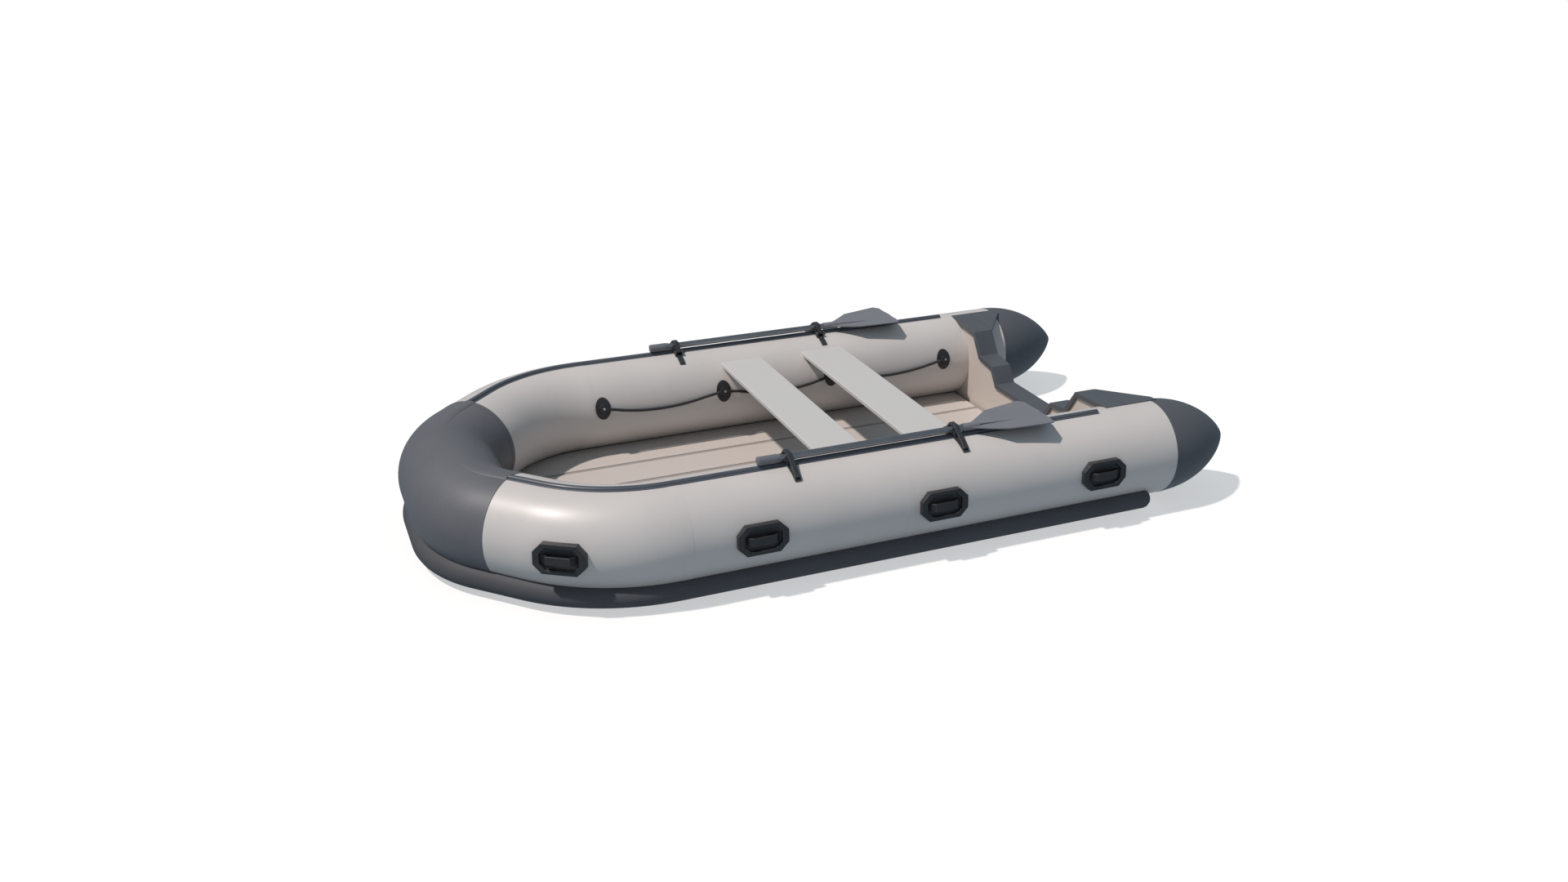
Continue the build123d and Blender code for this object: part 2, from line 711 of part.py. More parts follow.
def rope():
    points = [Vector(x, rope_y, z) for x, z in rope_route]
    radii = []
    for before, here, after in zip(points, points[1:], points[2:]):
        bend = (here - before).get_angle(after - here)
        shorter = min((here - before).length, (after - here).length)
        radii.append(0.45 * shorter / tan(radians(bend) / 2))
    print("rope bend radii", [round(radius) for radius in radii])
    path = FilletPolyline(*points, radius=radii)
    start = Plane(origin=path @ 0, z_dir=path % 0)
    line = sweep(start * Circle(rope_radius), path=path)
    length = path.length
    full = pi * rope_radius**2 * length
    print("rope length", round(length, 1), "volume ratio", round(line.volume / full, 4))
    return line


write_pair("grab_rope", rope())


# ================================================================ oar clips: base, pin and keeper
def from_tube(points):
    """Points given from the tube's centre line outboard and from the ground up."""
    return [(tube_y + y, z) for y, z in points]


pin_y = -pin_out
pin_z = shaft_z - pin_drop
keeper_top = shaft_z + shaft_radius + keeper_clearance + keeper_thickness / 2
clip_pad_r = skin_r + clip_pad_thickness
reach_out = clip_pad_r * sin(radians(clip_reach))
seat_z = tube_z + clip_pad_r * cos(radians(clip_reach))
keeper_end = (reach_out - keeper_thickness / 2, seat_z + keeper_thickness)
keeper_line = [
    (pin_y, pin_z), (keeper_shoulder[0], keeper_top), (keeper_shoulder[1], keeper_top), keeper_end,
]


def clip_base(x):
    """A rubber saddle across the tube: a pad on the skin, cheeks for the shaft and lugs for the pin."""
    half = clip_width / 2
    pad = tube_sector(x - half, x + half, skin_r, clip_pad_r, 90 - clip_reach, 90 + clip_reach)
    cheek_span = (tube_y - cheek_half_width, tube_y + cheek_half_width)
    cheeks = block(x - half, x + half, *cheek_span, tube_z, shaft_z)
    base = pad + (cheeks - side_envelope)
    lug_inner = keeper_width / 2 + knuckle_gap
    root_inner, root_outer = pin_y - knuckle_radius, -cheek_half_width + 1
    root = from_tube([
        (root_inner, tube_z), (root_inner, pin_z), (pin_y + knuckle_radius, pin_z),
        (root_outer, pin_z), (root_outer, tube_z),
    ])
    for side in (-1, 1):
        x0 = x + side * lug_inner
        x1 = x0 + side * lug_thickness
        lug = slab(root, min(x0, x1), max(x0, x1)) + rod_x(tube_y + pin_y, pin_z, knuckle_radius, x0, x1)
        base += lug - side_envelope
    swing = rod_x(tube_y + pin_y, pin_z, knuckle_radius + knuckle_gap, x - lug_inner, x + lug_inner)
    base -= swing
    under_keeper = strap(keeper_line, keeper_thickness + 2 * knuckle_gap)
    base -= slab(from_tube(under_keeper), x - lug_inner, x + lug_inner)
    base -= rod_x(tube_y, shaft_z, shaft_radius + shaft_fit, x - clip_width, x + clip_width)
    strip_gap = Pos(0, tube_r) * Ellipse(strip_width / 2 + glue_line, strip_height + glue_line)
    strip_room = side_run(strip_gap, x - clip_width, x + clip_width)
    base -= strip_room
    return base - rod_x(tube_y + pin_y, pin_z, pin_radius, x - clip_width, x + clip_width)


def clip_pin(x):
    outer = keeper_width / 2 + knuckle_gap + lug_thickness
    pin = rod_x(tube_y + pin_y, pin_z, pin_radius, x - outer, x + outer)
    for side in (-1, 1):
        x0 = x + side * outer
        pin += rod_x(tube_y + pin_y, pin_z, pin_head_radius, x0, x0 + side * pin_head)
    return pin


def clip_keeper(x):
    """A bent bar that swings over the shaft about the pin and snaps down on the outboard pad."""
    half = keeper_width / 2
    bar = slab(from_tube(strap(keeper_line, keeper_thickness)), x - half, x + half)
    bar += rod_x(tube_y + pin_y, pin_z, knuckle_radius, x - half, x + half)
    bar -= tube_sector(x - half - 1, x + half + 1, tube_r / 2, clip_pad_r + keeper_end_seat, 10, 90)
    return bar - rod_x(tube_y + pin_y, pin_z, pin_radius + pin_fit, x - clip_width, x + clip_width)


bases = [clip_base(x) for x in clip_x_positions]
write_pair("clip_bases", *bases)
pins = [clip_pin(x) for x in clip_x_positions]
write("clip_pins", *pins, *[starboard(pin) for pin in pins])
write_pair("front_keeper", clip_keeper(clip_x_positions[0]))
write_pair("rear_keeper", clip_keeper(clip_x_positions[1]))


# ================================================================ oars
def oar_shaft():
    x0 = blade_neck - socket_length
    tube = rod_x(tube_y, shaft_z, shaft_radius, x0, oar_front - socket_wall)
    return tube - rod_x(tube_y, shaft_z, shaft_radius - shaft_wall, x0 - 1, oar_front)


def oar_grip():
    sleeve = rod_x(tube_y, shaft_z, oar_grip_radius, oar_front - oar_grip_length, oar_front)
    sleeve = fillet(sleeve.edges().filter_by(GeomType.CIRCLE), socket_wall)
    collar_front = oar_front - oar_grip_length
    collar = rod_x(tube_y, shaft_z, oar_collar_radius, collar_front - oar_collar_length, collar_front)
    hole_from = collar_front - 2 * oar_collar_length
    return sleeve + collar - rod_x(tube_y, shaft_z, socket_radius, hole_from, oar_front - socket_wall)


def oar_blade():
    """A cupped plate with a socket for the shaft and a rib that runs out along its middle."""
    neck_half = shaft_radius + socket_wall
    shoulder_at = blade_neck - (blade_neck - blade_end) * 0.42
    wide_at = blade_end + blade_tip_drop
    plan = [
        (blade_neck - socket_length / 2, neck_half),
        (shoulder_at, blade_half_width * 0.79),
        (wide_at + blade_corner, blade_half_width),
        (wide_at, blade_half_width - blade_corner / 2),
        (blade_end, blade_half_width / 3),
    ]
    plan += [(x, -y) for x, y in plan[::-1]]
    cup = (blade_half_width**2 + blade_rise**2) / (2 * blade_rise)
    prism = Pos(0, tube_y, shaft_z - blade_rise) * extrude(outline(plan), amount=4 * blade_rise)
    shell = rod_x(tube_y, shaft_z + cup, cup + blade_thickness / 2, blade_end - 1, blade_neck)
    shell -= rod_x(tube_y, shaft_z + cup, cup - blade_thickness / 2, blade_end - 2, blade_neck + 1)
    plate = prism & shell
    socket = rod_x(tube_y, shaft_z, neck_half, blade_neck - socket_length - socket_wall, blade_neck)
    rib_line = [
        (blade_neck - socket_length, 0),
        (blade_neck - socket_length, rib_height),
        (rib_end, blade_thickness / 2),
        (rib_end, 0),
    ]
    rib = extrude(Plane.XZ.offset(-rib_half_width) * outline(rib_line), amount=2 * rib_half_width)
    plate += Pos(0, tube_y, shaft_z) * rib
    plate += socket
    return plate - rod_x(tube_y, shaft_z, socket_radius, blade_neck - socket_length, blade_neck + 1)


write_pair("oar_shaft", oar_shaft())
write_pair("oar_grip", oar_grip())
write_pair("oar_blade", oar_blade())
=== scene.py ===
"""The looks of an inflatable dinghy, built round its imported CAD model.

Metres. +X points to the bow, +Y to port, +Z up.
"""
from math import asin, atan2, cos, pi, radians, sin

import bmesh
import bpy
from mathutils import Matrix, Vector


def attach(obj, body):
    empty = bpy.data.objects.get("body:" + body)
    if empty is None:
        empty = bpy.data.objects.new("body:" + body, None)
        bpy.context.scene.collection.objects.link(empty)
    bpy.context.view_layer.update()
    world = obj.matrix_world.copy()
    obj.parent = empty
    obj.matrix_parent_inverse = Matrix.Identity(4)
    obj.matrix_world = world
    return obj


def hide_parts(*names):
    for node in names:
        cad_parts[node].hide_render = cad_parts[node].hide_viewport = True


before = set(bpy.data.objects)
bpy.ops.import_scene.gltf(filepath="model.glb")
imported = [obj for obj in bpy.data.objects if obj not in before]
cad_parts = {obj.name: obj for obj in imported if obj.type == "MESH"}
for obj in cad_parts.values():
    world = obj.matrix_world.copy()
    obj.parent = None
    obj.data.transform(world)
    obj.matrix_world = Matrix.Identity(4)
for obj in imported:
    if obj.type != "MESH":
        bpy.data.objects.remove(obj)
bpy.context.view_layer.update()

# ---------------------------------------------------------------- Camera
# The boat is seen from off its port bow, from a little above head height,
# with a 30 mm lens. It looks level across the picture, with no roll.
eye = Vector((2.2275, 5.239, 2.661))
gaze = Vector((-0.3476, -0.8496, -0.3966))
lens = bpy.data.cameras.new("lens")
lens.lens = 30.60
lens.sensor_width = 36.0
lens.clip_end = 400.0
camera = bpy.data.objects.new("camera", lens)
bpy.context.scene.collection.objects.link(camera)
camera.location = eye
camera.rotation_mode = "QUATERNION"
camera.rotation_quaternion = gaze.to_track_quat("-Z", "Y")
bpy.context.scene.camera = camera

# ---------------------------------------------------------------- Grab ropes
# A 14 mm braided polyester line hangs in three shallow swags along the inside
# of each tube. It runs through the bosses of four rubber patches and ends in the outer two.
rope_diameter = 0.014
rope_y = 0.5065
rope_swags = [
    (0.812, 0.294), (0.765, 0.289), (0.690, 0.2705), (0.585, 0.2575), (0.470, 0.256), (0.360, 0.267),
    (0.275, 0.284), (0.217, 0.293), (0.165, 0.2935), (0.112, 0.285), (0.040, 0.268), (-0.060, 0.2565),
    (-0.165, 0.256), (-0.262, 0.268), (-0.320, 0.2815), (-0.362, 0.2925), (-0.410, 0.2935),
    (-0.455, 0.286), (-0.530, 0.268), (-0.635, 0.255), (-0.750, 0.2535), (-0.855, 0.263),
    (-0.935, 0.2765), (-1.000, 0.292), (-1.040, 0.2945),
]


class Wire:
    """An output in a material. Sums on it add the Math node that works them out."""

    def __init__(self, paint, socket):
        self.paint = paint
        self.socket = socket

    def maths(self, operation, first, second=0.5):
        return self.paint.node("ShaderNodeMath", {"operation": operation}, {0: first, 1: second})

    def __add__(self, other):
        return self.maths("ADD", self, other)

    def __sub__(self, other):
        return self.maths("SUBTRACT", self, other)

    def __rsub__(self, other):
        return self.maths("SUBTRACT", other, self)

    def __mul__(self, other):
        return self.maths("MULTIPLY", self, other)

    def __gt__(self, other):
        return self.maths("GREATER_THAN", self, other)

    __radd__ = __add__
    __rmul__ = __mul__

    def wave(self, pitch):
        """From 0 to 1 and back over each pitch."""
        return 0.5 + 0.5 * self.maths("SINE", self * (2 * pi / pitch))


class Finish:
    """A material in the making, round one Principled shader."""

    def __init__(self, name, **fixed):
        self.material = bpy.data.materials.new(name)
        self.material.use_nodes = True
        self.tree = self.material.node_tree
        self.shader = self.tree.nodes["Principled BSDF"]
        for socket, value in fixed.items():
            self.feed(self.shader.inputs[socket.replace("_", " ")], value)

    def feed(self, socket, value):
        if isinstance(value, Wire):
            self.tree.links.new(value.socket, socket)
        else:
            socket.default_value = value

    def node(self, kind, settings=None, values=None, out=0):
        """Adds a node: its settings first, then the values or wires of its sockets."""
        node = self.tree.nodes.new(kind)
        for key, value in (settings or {}).items():
            if key == "stops":
                for element, stop in zip(node.color_ramp.elements, value):
                    element.position, element.color = stop
            else:
                setattr(node, key, value)
        for key, value in (values or {}).items():
            self.feed(node.inputs[key], value)
        return Wire(self, node.outputs[out])

    def place(self):
        return self.node("ShaderNodeTexCoord", out="Object")

    def cloth_map(self):
        """The piece's own map, in metres along and round it."""
        return self.node("ShaderNodeTexCoord", out="UV")

    def axis(self, vector, letter):
        return self.node("ShaderNodeSeparateXYZ", values={0: vector}, out=letter)

    def stretched(self, vector, scale):
        return self.node("ShaderNodeMapping", values={"Vector": vector, "Scale": scale})

    def noise(self, vector, scale, detail=3.0, rough=0.5):
        values = {"Vector": vector, "Scale": scale, "Detail": detail, "Roughness": rough}
        return self.node("ShaderNodeTexNoise", values=values, out=0)

    def ramp(self, wire, low, high, low_colour=(0, 0, 0, 1), high_colour=(1, 1, 1, 1)):
        settings = {"stops": [(low, low_colour), (high, high_colour)]}
        return self.node("ShaderNodeValToRGB", settings, {0: wire})

    def blend(self, share, first, second):
        settings = {"data_type": "RGBA"}
        colours = [c if isinstance(c, Wire) else (*c, 1.0) for c in (first, second)]
        return self.node("ShaderNodeMix", settings, {0: share, 6: colours[0], 7: colours[1]}, out=2)

    def finish(self, colour=None, roughness=None, bumps=(), **others):
        """Feeds the shader; each bump is (height, depth in metres, strength)."""
        normal = None
        for height, depth, strength in bumps:
            values = {"Height": height, "Distance": depth, "Strength": strength}
            if normal is not None:
                values["Normal"] = normal
            normal = self.node("ShaderNodeBump", values=values)
        wires = {"Base Color": colour, "Roughness": roughness, "Normal": normal, **others}
        for socket, wire in wires.items():
            if wire is not None:
                self.feed(self.shader.inputs[socket], wire)
        return self.material


braid = Finish("braided_line", Specular_IOR_Level=0.35, Sheen_Weight=0.25, Sheen_Roughness=0.5)
braid_map = braid.cloth_map()
braid_along = braid.axis(braid_map, "X")
braid_round = braid.axis(braid_map, "Y")
braid_turns = 8
braid_pitches = 160
one_way = (braid_along * braid_pitches + braid_round * braid_turns).wave(1.0)
other_way = (braid_along * braid_pitches - braid_round * braid_turns).wave(1.0)
strands = one_way * other_way
fleck = braid.noise(braid.place(), 260.0, 2.0)
braid_colour = braid.blend(strands, (0.008, 0.008, 0.010), (0.050, 0.052, 0.058))
braid_colour = braid.blend((fleck > 0.66) * 0.5, braid_colour, (0.12, 0.12, 0.125))
braid_material = braid.finish(braid_colour, 0.75 - 0.2 * strands, [(strands, 0.0008, 0.9)])

for side, sign in (("port", 1), ("starboard", -1)):
    line = bpy.data.curves.new(f"{side}_grab_line", "CURVE")
    line.dimensions = "3D"
    line.bevel_depth = rope_diameter / 2
    line.bevel_resolution = 5
    line.resolution_u = 10
    line.use_fill_caps = True
    run = line.splines.new("NURBS")
    run.points.add(len(rope_swags) - 1)
    for point, (x, z) in zip(run.points, rope_swags):
        point.co = (x, sign * rope_y, z, 1.0)
    run.order_u = 3
    run.use_endpoint_u = True
    line.materials.append(braid_material)
    rope = bpy.data.objects.new(f"{side}_grab_line", line)
    bpy.context.scene.collection.objects.link(rope)
    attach(rope, "hull")
    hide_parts(f"{side}_grab_rope")

# ---------------------------------------------------------------- Air tubes
# The tubes are PVC-coated polyester cloth welded into one long U of three air chambers.
# The cloth is cut flat and bent round shoulders and bow, and stays smooth when it is pumped hard.
tube_radius = 0.2125
tube_y = 0.7275
tube_z = 0.240
seam_x = -1.411
turn = radians(46.0)
shoulder_radius = 0.620
bow_radius = 0.371
bow_axis_x = 1.586
bow_centre = Vector((bow_axis_x - bow_radius, 0.117, 0.0))
shoulder_centre = Vector((0.87803, tube_y - shoulder_radius, 0.0))
diagonal = 0.22725
side_length = shoulder_centre.x - seam_x
tube_facets = 96


def cut_cloth():
    """A bmesh whose points know how far along and round the cloth they are."""
    bm = bmesh.new()
    bm.verts.layers.float.new("along")
    bm.verts.layers.float.new("around")
    return bm


def ring_at(bm, section, x, y, heading=0.0):
    """A section across the tube's line: each point is metres outboard and metres up."""
    turned = Matrix.Translation((x, y, tube_z)) @ Matrix.Rotation(heading, 4, "Z")
    around = bm.verts.layers.float["around"]
    corners = [bm.verts.new(turned @ Vector((0, out, up))) for out, up in section]
    reach = 0.0
    for i, corner in enumerate(corners):
        if i:
            reach += (corner.co - corners[i - 1].co).length
        corner[around] = reach
    pairs = list(zip(corners, corners[1:] + corners[:1]))
    return [bm.edges.new(pair) for pair in pairs]


def carry(bm, ring, legs, heading=0.0):
    """Draws a ring along the boat's line and returns each ring's points. A leg is (steps, metres)
    for a straight, or (steps, angle, centre, radius) for a bend towards the middle of the boat."""
    measured = bm.verts.layers.float["along"]
    rings = [{v for e in ring for v in e.verts}]
    done = 0.0
    for steps, amount, *bend in legs:
        for _ in range(steps):
            part = amount / steps
            if bend:
                centre, radius = bend
                swept = bmesh.ops.spin(bm, geom=ring, cent=centre, axis=(0, 0, -1), angle=part, steps=1)
                pulled = swept["geom_last"]
                heading -= part
                done += part * radius
            else:
                pulled = bmesh.ops.extrude_edge_only(bm, edges=ring)["geom"]
                moved = [v for v in pulled if isinstance(v, bmesh.types.BMVert)]
                bmesh.ops.translate(bm, verts=moved, vec=Vector((cos(heading), sin(heading), 0)) * part)
                done += part
            ring = [e for e in pulled if isinstance(e, bmesh.types.BMEdge)]
            rings.append({v for e in ring for v in e.verts})
            for vert in rings[-1]:
                vert[measured] = done
    return rings


def circle(radius, count=tube_facets):
    angles = [2 * pi * i / count for i in range(count)]
    return [(radius * cos(angle), radius * sin(angle)) for angle in angles]


def close_up(bm):
    """Closes the open ends and turns every face outwards."""
    bmesh.ops.holes_fill(bm, edges=[e for e in bm.edges if e.is_boundary], sides=0)
    bmesh.ops.recalc_face_normals(bm, faces=bm.faces)


def map_cloth(bm, girth):
    """Lays the cloth's map over the piece, in metres along it and round it."""
    sheet = bm.loops.layers.uv.new("UVMap")
    along = bm.verts.layers.float["along"]
    around = bm.verts.layers.float["around"]
    for face in bm.faces:
        reach = [loop.vert[around] for loop in face.loops]
        far = max(reach)
        for loop, value in zip(face.loops, reach):
            wrapped = value + girth if girth and far - value > girth / 2 else value
            loop[sheet].uv = (loop.vert[along], wrapped)


def shown(bm, name, body, material, slot, *nodes, smooth=40.0, weighted=False):
    """Makes a bmesh a piece of the boat that rides on a body and stands for CAD nodes."""
    mesh = bpy.data.meshes.new(name)
    bm.to_mesh(mesh)
    bm.free()
    mesh.shade_smooth()
    mesh.set_sharp_from_angle(angle=radians(smooth))
    mesh.materials.append(material)
    piece = bpy.data.objects.new(name, mesh)
    bpy.context.scene.collection.objects.link(piece)
    if weighted:
        even = piece.modifiers.new("even_shading", "WEIGHTED_NORMAL")
        even.keep_sharp = True
    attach(piece, body)
    if nodes:
        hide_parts(*nodes)
    return piece


def coated_cloth(name, light, dark, roughness, weave_depth, soil, mapped=True, **fixed):
    """Coated cloth: the scrim's threads show through as a faint grid, and low down it is scuffed."""
    cloth = Finish(name, **fixed)
    flat = cloth.cloth_map() if mapped else cloth.place()
    thread = 0.0021
    scrim = cloth.axis(flat, "X").wave(thread) * cloth.axis(flat, "Y").wave(thread)
    place = cloth.place()
    cloudy = cloth.noise(place, 3.2, 4.0, 0.55)
    fine = cloth.noise(place, 420.0, 2.0, 0.6)
    ripple = cloth.noise(cloth.stretched(place, (1.0, 1.0, 2.2)), 2.6, 2.0, 0.4)
    colour = cloth.blend(cloth.ramp(cloudy, 0.30, 0.72), dark, light)
    height = cloth.axis(place, "Z")
    low_down = cloth.ramp(height + 0.05 * cloudy, 0.02, 0.17, (1, 1, 1, 1), (0, 0, 0, 1))
    scuffs = cloth.noise(cloth.stretched(place, (2.0, 2.0, 14.0)), 9.0, 5.0, 0.65)
    marked = low_down * cloth.ramp(scuffs, 0.46, 0.64) * soil
    colour = cloth.blend(marked, colour, (0.21, 0.195, 0.17))
    colour = cloth.blend(0.10 * fine, colour, (0.9, 0.9, 0.92))
    gloss = roughness + 0.10 * (cloudy - 0.5) + 0.10 * fine + 0.15 * marked
    bumps = [(ripple, 0.0035, 0.35), (scrim, weave_depth, 0.5), (fine, 0.00012, 0.5)]
    return cloth.finish(colour, gloss, bumps)


hull_cloth = coated_cloth(
    "pale_hull_cloth", (0.585, 0.553, 0.530), (0.548, 0.517, 0.494), 0.34, 0.00010, 0.45,
    Coat_Weight=0.10, Coat_Roughness=0.28, Specular_IOR_Level=0.45,
)

tube = cut_cloth()
stern_ring = ring_at(tube, circle(tube_radius), seam_x, tube_y)
across = Vector((1, -1, 1))
shoulder = (turn, shoulder_centre, shoulder_radius)
bow_corner = (pi / 2 - turn, bow_centre, bow_radius)
bow_front = 2 * bow_centre.y
far_corner = (bow_corner[0], bow_centre * across, bow_radius)
far_shoulder = (turn, shoulder_centre * across, shoulder_radius)
half_boat = [(26, side_length), (22, *shoulder), (4, diagonal), (20, *bow_corner)]
other_half = [(20, *far_corner), (4, diagonal), (22, *far_shoulder), (26, side_length)]
carry(tube, stern_ring, half_boat + [(6, bow_front)] + other_half)
close_up(tube)
map_cloth(tube, 2 * pi * tube_radius)
shown(
    tube, "air_tubes", "hull", hull_cloth, "hull_fabric", "port_side_tube", "port_shoulder_tube",
    "bow_tube", "starboard_shoulder_tube", "starboard_side_tube", smooth=60.0,
)

# ---------------------------------------------------------------- Chamber seams
# A 40 mm band of the same cloth is welded over each joint between two air chambers,
# and a narrower one over the joint in the middle of each side, where two lengths of cloth meet.
band_lift = 0.0007
side_joint_x = -0.108
chamber_joint_x = shoulder_centre.x - 0.040
for side, sign in (("port", 1), ("starboard", -1)):
    for place, x, width in (("chamber", chamber_joint_x, 0.040), ("side", side_joint_x, 0.028)):
        band = cut_cloth()
        carry(band, ring_at(band, circle(tube_radius + band_lift), x, sign * tube_y), [(2, width)])
        close_up(band)
        map_cloth(band, 2 * pi * tube_radius)
        shown(band, f"{side}_{place}_seam_band", "hull", hull_cloth, "hull_fabric", smooth=60.0)

# ---------------------------------------------------------------- Bow cover
# A dark sheet of heavier cloth is wrapped and glued round the bow against wear. Its back edges
# are doubled, and the tubes' top strips run on under it as a ridge that fades towards the stem.
cover_cloth = coated_cloth(
    "dark_cover_cloth", (0.088, 0.092, 0.104), (0.068, 0.072, 0.084), 0.44, 0.00016, 0.55,
    Coat_Weight=0.06, Coat_Roughness=0.35, Specular_IOR_Level=0.42,
)
cover_radius = tube_radius + 0.0015
covered = 0.35 * diagonal
diagonal_front = bow_centre + Vector((sin(turn), cos(turn), 0)) * bow_radius
back_along = Vector((-cos(turn), sin(turn), 0))
cover_edge = diagonal_front + back_along * covered
cover_legs = [
    (3, covered), (26, *bow_corner), (8, bow_front), (26, *far_corner), (3, covered),
]
cover = cut_cloth()
carry(cover, ring_at(cover, circle(cover_radius), *cover_edge.xy, -turn), cover_legs, -turn)
close_up(cover)
map_cloth(cover, 2 * pi * cover_radius)
shown(cover, "bow_cover_cloth", "hull", cover_cloth, "dark_fabric", "bow_cover", smooth=60.0)

hem_width = 0.024
ridge_half_width = 0.027
ridge_height = 0.0095
for side, sign in (("port", 1), ("starboard", -1)):
    hem = cut_cloth()
    hem_place = cover_edge if sign > 0 else cover_edge * across
    heading = -turn * sign
    hem_ring = ring_at(hem, circle(cover_radius + 0.0008), *hem_place.xy, heading)
    carry(hem, hem_ring, [(2, hem_width)], heading)
    close_up(hem)
    map_cloth(hem, 2 * pi * cover_radius)
    shown(hem, f"{side}_cover_hem", "hull", cover_cloth, "dark_fabric", smooth=60.0)

    ridge = cut_cloth()
    swings = [pi * i / 12 for i in range(13)]
    ridge_foot = cover_radius - 0.003
    bump = [(ridge_half_width * cos(a), ridge_foot + ridge_height * sin(a)) for a in swings]
    ridge_ring = ring_at(ridge, bump, *cover_edge.xy, -turn)
    rings = carry(ridge, ridge_ring, [(4, covered), (14, *bow_corner)], -turn)
    for i, ring in enumerate(rings):
        fade = (i / (len(rings) - 1)) ** 1.6
        bmesh.ops.translate(ridge, verts=list(ring), vec=(0, 0, -fade * ridge_height))
    if sign < 0:
        bmesh.ops.scale(ridge, vec=across, verts=ridge.verts)
    close_up(ridge)
    map_cloth(ridge, 0.0)
    shown(ridge, f"{side}_covered_strip", "hull", cover_cloth, "dark_fabric", smooth=60.0)

# ---------------------------------------------------------------- Stern cones
# Each tube ends in a pointed cone of the dark cloth, drawn to a round nose. A band
# of the same cloth covers the joint with the pale tube.
cone_cloth = coated_cloth(
    "dark_cone_cloth", (0.054, 0.060, 0.074), (0.041, 0.046, 0.058), 0.44, 0.00016, 0.55,
    Coat_Weight=0.06, Coat_Roughness=0.35, Specular_IOR_Level=0.42,
)
cone_length = 0.389
nose_radius = 0.040
for side, sign in (("port", 1), ("starboard", -1)):
    cone = cut_cloth()
    base = Vector((seam_x - 0.0003, sign * tube_y, tube_z))
    nose = cone_length - 0.0003 - nose_radius
    flank_radius = (nose**2 + tube_radius**2 - nose_radius**2) / (2 * (tube_radius - nose_radius))
    flank_angle = asin(nose / (flank_radius - nose_radius))
    flank_centre = base + Vector((0, 0, tube_radius - flank_radius))
    nose_centre = base - Vector((nose, 0, 0))
    start = cone.verts.new(base + Vector((0, 0, tube_radius)))
    over = (0, -1, 0)
    flank = bmesh.ops.spin(cone, geom=[start], cent=flank_centre, axis=over, angle=flank_angle, steps=26)
    point = [v for v in flank["geom_last"] if isinstance(v, bmesh.types.BMVert)]
    bmesh.ops.spin(cone, geom=point, cent=nose_centre, axis=over, angle=pi / 2 - flank_angle, steps=8)
    profile = list(cone.verts) + list(cone.edges)
    bmesh.ops.spin(cone, geom=profile, cent=base, axis=(1, 0, 0), angle=2 * pi, steps=80, use_merge=True)
    bmesh.ops.remove_doubles(cone, verts=cone.verts, dist=0.00005)
    close_up(cone)
    for vert in cone.verts:
        vert[cone.verts.layers.float["along"]] = base.x - vert.co.x
        spoke = vert.co - base
        vert[cone.verts.layers.float["around"]] = (atan2(spoke.z, spoke.y) + pi) * tube_radius
    map_cloth(cone, 2 * pi * tube_radius)
    shown(
        cone, f"{side}_stern_cone_cloth", "hull", cone_cloth, "dark_fabric", f"{side}_stern_cone",
        smooth=60.0,
    )

    joint = cut_cloth()
    joint_ring = ring_at(joint, circle(tube_radius + 0.0009), seam_x - 0.012, sign * tube_y)
    carry(joint, joint_ring, [(2, 0.018)])
    close_up(joint)
    map_cloth(joint, 2 * pi * tube_radius)
    shown(joint, f"{side}_cone_joint_band", "hull", cone_cloth, "dark_fabric", smooth=60.0)

# ---------------------------------------------------------------- Top strips
# A moulded PVC strip with a rounded rib between two thin flanges is glued along
# the top of each tube, as a chafe guard under the oars. It runs in under the bow cover.
strip_pvc = Finish("moulded_strip", Specular_IOR_Level=0.5, Coat_Weight=0.15, Coat_Roughness=0.2)
strip_place = strip_pvc.place()
strip_cloud = strip_pvc.noise(strip_place, 7.0, 4.0, 0.6)
strip_grain = strip_pvc.noise(strip_place, 900.0, 2.0)
strip_colour = strip_pvc.blend(strip_cloud, (0.060, 0.068, 0.084), (0.082, 0.092, 0.112))
strip_gloss = 0.30 + 0.16 * strip_cloud + 0.08 * strip_grain
strip_material = strip_pvc.finish(strip_colour, strip_gloss, [(strip_grain, 0.0001, 0.6)])
strip_half = 0.023
strip_start = 0.305
flange = 0.0022
rib_half = 0.0125
rib_top = 0.012
rib = [(rib_half * cos(pi * i / 10), flange + (rib_top - flange) * sin(pi * i / 10)) for i in range(11)]
strip_section = [(strip_half, -0.004), (strip_half, 0.0008), (strip_half - 0.0012, flange), *rib]
strip_section += [(0.0012 - strip_half, flange), (-strip_half, 0.0008), (-strip_half, -0.004)]
strip_section = [(out, (tube_radius**2 - out**2) ** 0.5 + up) for out, up in strip_section]
for side, sign in (("port", 1), ("starboard", -1)):
    strip = cut_cloth()
    strip_ring = ring_at(strip, strip_section, seam_x + strip_start, tube_y)
    carry(strip, strip_ring, [(10, side_length - strip_start), (24, *shoulder), (4, diagonal - covered)])
    if sign < 0:
        bmesh.ops.scale(strip, vec=across, verts=strip.verts)
    close_up(strip)
    map_cloth(strip, 0.0)
    shown(
        strip, f"{side}_top_strip_moulding", "hull", strip_material, "strip_rubber",
        f"{side}_top_strip", smooth=50.0,
    )

